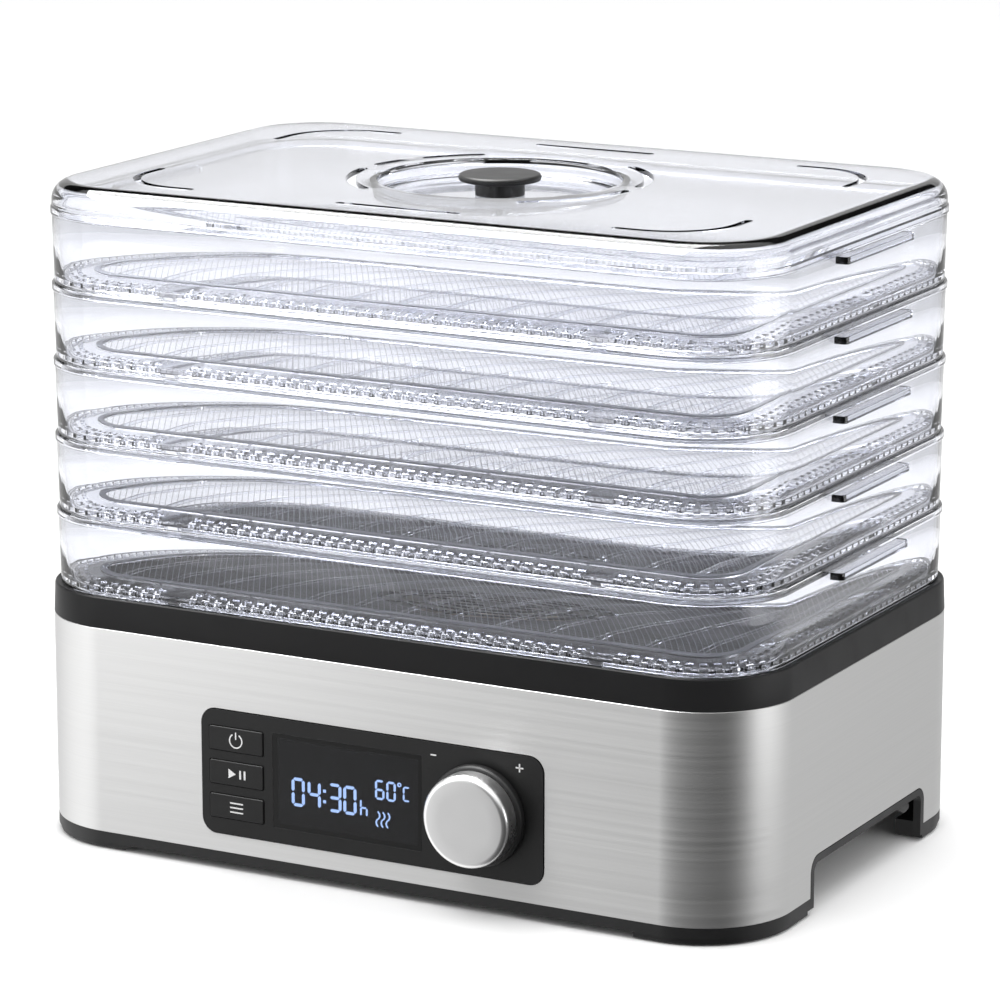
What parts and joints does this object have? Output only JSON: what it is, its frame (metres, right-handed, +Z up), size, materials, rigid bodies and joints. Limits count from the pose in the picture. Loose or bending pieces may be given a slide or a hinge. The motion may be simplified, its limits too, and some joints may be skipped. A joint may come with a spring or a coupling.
{
  "type": "food dehydrator",
  "caption": "Countertop food dehydrator: steel-clad fan and heater base with a control panel, stacked clear trays with drying nets, and a vented clear lid.",
  "frame": {"origin": "on the surface it stands on, under the middle of the whole footprint (control knob and cord gland included)", "axes": "+X to the right of someone facing the controls, -Y out of the control panel, +Z up the stack"},
  "size_m": [0.341, 0.2358, 0.2772],
  "materials": {
    "brushed_steel": "fine horizontal brushing, satin",
    "black_plastic": "fine satin moulding texture",
    "charcoal_plastic": "satin",
    "fascia_plastic": "fine satin",
    "button_plastic": "fine satin with pale printed symbols",
    "display_glass": "smoked, glossy",
    "display_body": "dark reflector",
    "display_light": "lit, pale blue-white",
    "satin_silver": "satin, bead blasted",
    "clear_plastic": "clear, glossy, faint blue tint",
    "net_plastic": "fine silver-grey net",
    "rubber": "matt",
    "zinc_steel": "zinc plated",
    "duct_sheet": "mill finish",
    "motor_steel": "satin grey",
    "ivory_plastic": "semi-gloss",
    "mica": "flaky mica sheet",
    "heater_wire": "oxidised resistance wire",
    "ceramic": "glazed",
    "circuit_board": "solder mask",
    "component_plastic": "moulded"
  },
  "bodies": {
    "base": {"steel_housing": "brushed_steel", "bottom_chassis": "black_plastic", "top_deck": "charcoal_plastic", "air_outlet_grille": "black_plastic", "rubber_feet": "rubber", "case_screws": "zinc_steel", "control_fascia": "fascia_plastic", "display_window": "display_glass", "display_module": "display_body", "display_segments": "display_light", "encoder_body": "zinc_steel", "encoder_nut": "zinc_steel", "control_board": "circuit_board", "tact_switches": "component_plastic", "control_chips": "component_plastic", "control_board_screws": "zinc_steel", "air_duct": "duct_sheet", "fan_motor": "motor_steel", "motor_bracket": "zinc_steel", "motor_screws": "zinc_steel", "heater_frame": "mica", "heater_coil": "heater_wire", "thermal_cutout": "ceramic", "thermal_fuse": "ceramic", "temperature_sensor": "zinc_steel", "power_board": "circuit_board", "relay": "component_plastic", "transformer": "component_plastic", "filter_capacitor": "component_plastic", "terminal_block": "component_plastic", "power_board_screws": "zinc_steel", "cord_gland": "black_plastic", "gland_nut": "black_plastic"},
    "control_knob": {"knob_cap": "satin_silver", "knob_skirt": "black_plastic", "encoder_shaft": "zinc_steel"},
    "power_button": {"button_power": "button_plastic"},
    "play_pause_button": {"button_play_pause": "button_plastic"},
    "menu_button": {"button_menu": "button_plastic"},
    "fan": {"motor_shaft": "zinc_steel", "fan_impeller": "ivory_plastic"},
    "tray_1": {"tray_1_frame": "clear_plastic", "tray_1_net": "net_plastic"},
    "tray_2": {"tray_2_frame": "clear_plastic", "tray_2_net": "net_plastic"},
    "tray_3": {"tray_3_frame": "clear_plastic", "tray_3_net": "net_plastic"},
    "tray_4": {"tray_4_frame": "clear_plastic", "tray_4_net": "net_plastic"},
    "tray_5": {"tray_5_frame": "clear_plastic", "tray_5_net": "net_plastic"},
    "lid": {"lid": "clear_plastic", "lid_knob": "black_plastic", "lid_knob_screw": "zinc_steel"}
  },
  "joints": [
    {"name": "knob_turn", "type": "hinge", "parent": "base", "child": "control_knob", "pos_m": [0.05, -0.1046, 0.041], "axis": [0, -1, 0], "continuous": true},
    {"name": "power_press", "type": "slide", "parent": "base", "child": "power_button", "axis": [0, 1, 0], "range_m": [0, 0.0008], "stiffness_N_per_m": 1500, "springref_m": -0.0003},
    {"name": "play_pause_press", "type": "slide", "parent": "base", "child": "play_pause_button", "axis": [0, 1, 0], "range_m": [0, 0.0008], "stiffness_N_per_m": 1500, "springref_m": -0.0003},
    {"name": "menu_press", "type": "slide", "parent": "base", "child": "menu_button", "axis": [0, 1, 0], "range_m": [0, 0.0008], "stiffness_N_per_m": 1500, "springref_m": -0.0003},
    {"name": "fan_spin", "type": "hinge", "parent": "base", "child": "fan", "pos_m": [0, 0.0054, 0.06], "axis": [0, 0, 1], "continuous": true},
    {"name": "tray_1_lift", "type": "slide", "parent": "base", "child": "tray_1", "axis": [0, 0, 1], "range_m": [0, 0.04]},
    {"name": "tray_2_lift", "type": "slide", "parent": "tray_1", "child": "tray_2", "axis": [0, 0, 1], "range_m": [0, 0.04]},
    {"name": "tray_3_lift", "type": "slide", "parent": "tray_2", "child": "tray_3", "axis": [0, 0, 1], "range_m": [0, 0.04]},
    {"name": "tray_4_lift", "type": "slide", "parent": "tray_3", "child": "tray_4", "axis": [0, 0, 1], "range_m": [0, 0.04]},
    {"name": "tray_5_lift", "type": "slide", "parent": "tray_4", "child": "tray_5", "axis": [0, 0, 1], "range_m": [0, 0.04]},
    {"name": "lid_lift", "type": "slide", "parent": "tray_5", "child": "lid", "axis": [0, 0, 1], "range_m": [0, 0.05]}
  ]
}
